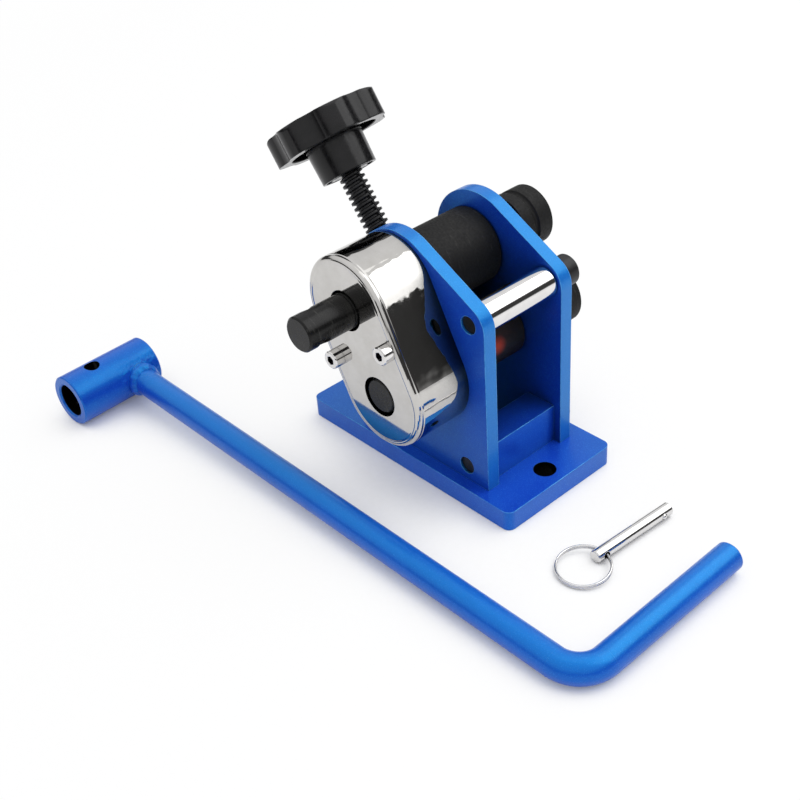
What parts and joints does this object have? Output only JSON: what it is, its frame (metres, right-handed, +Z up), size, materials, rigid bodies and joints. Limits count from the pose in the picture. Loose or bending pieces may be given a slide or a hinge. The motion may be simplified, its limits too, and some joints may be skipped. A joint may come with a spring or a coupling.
{
  "type": "ring roller bender",
  "caption": "Hand cranked bench machine that rolls metal strip and bar into rings between geared rollers and an adjustable roller, with its crank and locking pin beside it.",
  "frame": {"origin": "centre of the base plate's underside, on the bench", "axes": "+X along the base plate towards its spacer block, +Y from the gear cover to the outer rollers along the roller axes, +Z up"},
  "size_m": [0.339, 0.1957, 0.1683],
  "materials": {
    "blue_powder_coat": "glossy blue powder coat with fine sparkle",
    "polished_chrome": "mirror polished",
    "black_steel": "blackened, semi gloss",
    "steel": "plain machined steel",
    "bronze": "turned bronze",
    "brass": "turned brass",
    "black_plastic": "glossy black"
  },
  "bodies": {
    "frame": {"base_plate": "blue_powder_coat", "front_side_plate": "blue_powder_coat", "rear_side_plate": "blue_powder_coat", "spacer_block": "blue_powder_coat", "tie_bar": "polished_chrome", "tie_bolts": "black_steel", "base_screws": "steel", "screw_nut_block": "black_steel", "nut_block_screws": "steel", "drive_bush_front": "bronze", "drive_bush_rear": "bronze", "driven_bush_front": "bronze", "driven_bush_rear": "bronze", "gear_cover": "polished_chrome", "cover_standoffs": "steel", "cover_screws": "polished_chrome"},
    "drive": {"drive_shaft": "black_steel", "drive_gear": "steel", "drive_keys": "steel", "drive_gear_ring": "steel", "upper_roller": "black_steel", "upper_outer_roller": "black_steel", "upper_end_washer": "black_steel", "upper_end_screw": "black_steel"},
    "driven": {"driven_shaft": "black_steel", "driven_gear": "steel", "driven_keys": "steel", "driven_gear_ring": "steel", "lower_roller": "black_steel", "lower_outer_roller": "black_steel", "lower_end_washer": "black_steel", "lower_end_screw": "black_steel"},
    "carriage": {"idler_yoke": "black_steel", "idler_bush_front": "bronze", "idler_bush_rear": "bronze"},
    "idler": {"idler_shaft": "black_steel", "idler_keys": "steel", "idler_roller": "black_steel", "idler_outer_roller": "black_steel", "idler_end_washer": "black_steel", "idler_end_screw": "black_steel"},
    "adjuster": {"adjusting_screw": "black_steel", "knob": "black_plastic", "knob_insert": "brass", "screw_retaining_ring": "steel"},
    "crank": {"crank_socket": "blue_powder_coat", "crank_bar": "blue_powder_coat"},
    "pin": {"locking_pin": "polished_chrome", "detent_spring": "steel"},
    "ball": {"detent_ball": "steel"},
    "ring": {"pull_ring": "polished_chrome"}
  },
  "joints": [
    {"name": "drive_spin", "type": "hinge", "parent": "frame", "child": "drive", "pos_m": [-0.00366, 0, 0.1016], "axis": [0, 1, 0], "continuous": true},
    {"name": "driven_spin", "type": "hinge", "parent": "frame", "child": "driven", "pos_m": [0.01515, 0, 0.06405], "axis": [0, 1, 0], "continuous": true},
    {"name": "carriage_slide", "type": "slide", "parent": "frame", "child": "carriage", "axis": [0.594, 0, -0.8045], "range_m": [0, 0.015]},
    {"name": "idler_spin", "type": "hinge", "parent": "carriage", "child": "idler", "pos_m": [-0.02042, 0, 0.0661], "axis": [0, 1, 0], "continuous": true},
    {"name": "screw_turn", "type": "hinge", "parent": "carriage", "child": "adjuster", "pos_m": [-0.02042, -0.0013, 0.0661], "axis": [0.594, 0, -0.8045], "range_deg": [0, 1800]},
    {"name": "crank_lift", "type": "slide", "parent": "frame", "child": "crank", "axis": [0, 0, 1], "range_m": [0, 0.05]},
    {"name": "pin_lift", "type": "slide", "parent": "frame", "child": "pin", "axis": [0, 0, 1], "range_m": [0, 0.05]},
    {"name": "ball_press", "type": "slide", "parent": "pin", "child": "ball", "axis": [-0.998, 0.0628, 0], "range_m": [0, 0.0006], "stiffness_N_per_m": 400, "springref_m": -0.002, "deforming": ["detent_spring"]},
    {"name": "ring_swing", "type": "hinge", "parent": "pin", "child": "ring", "pos_m": [0.1116, -0.02001, 0.00317], "axis": [-0.998, 0.0628, 0], "range_deg": [0, 160]}
  ],
  "couplings": [
    {"joint": "driven_spin", "follows": "drive_spin", "ratio": -1},
    {"joint": "screw_turn", "follows": "carriage_slide", "rad_per_m": 2094.4}
  ]
}
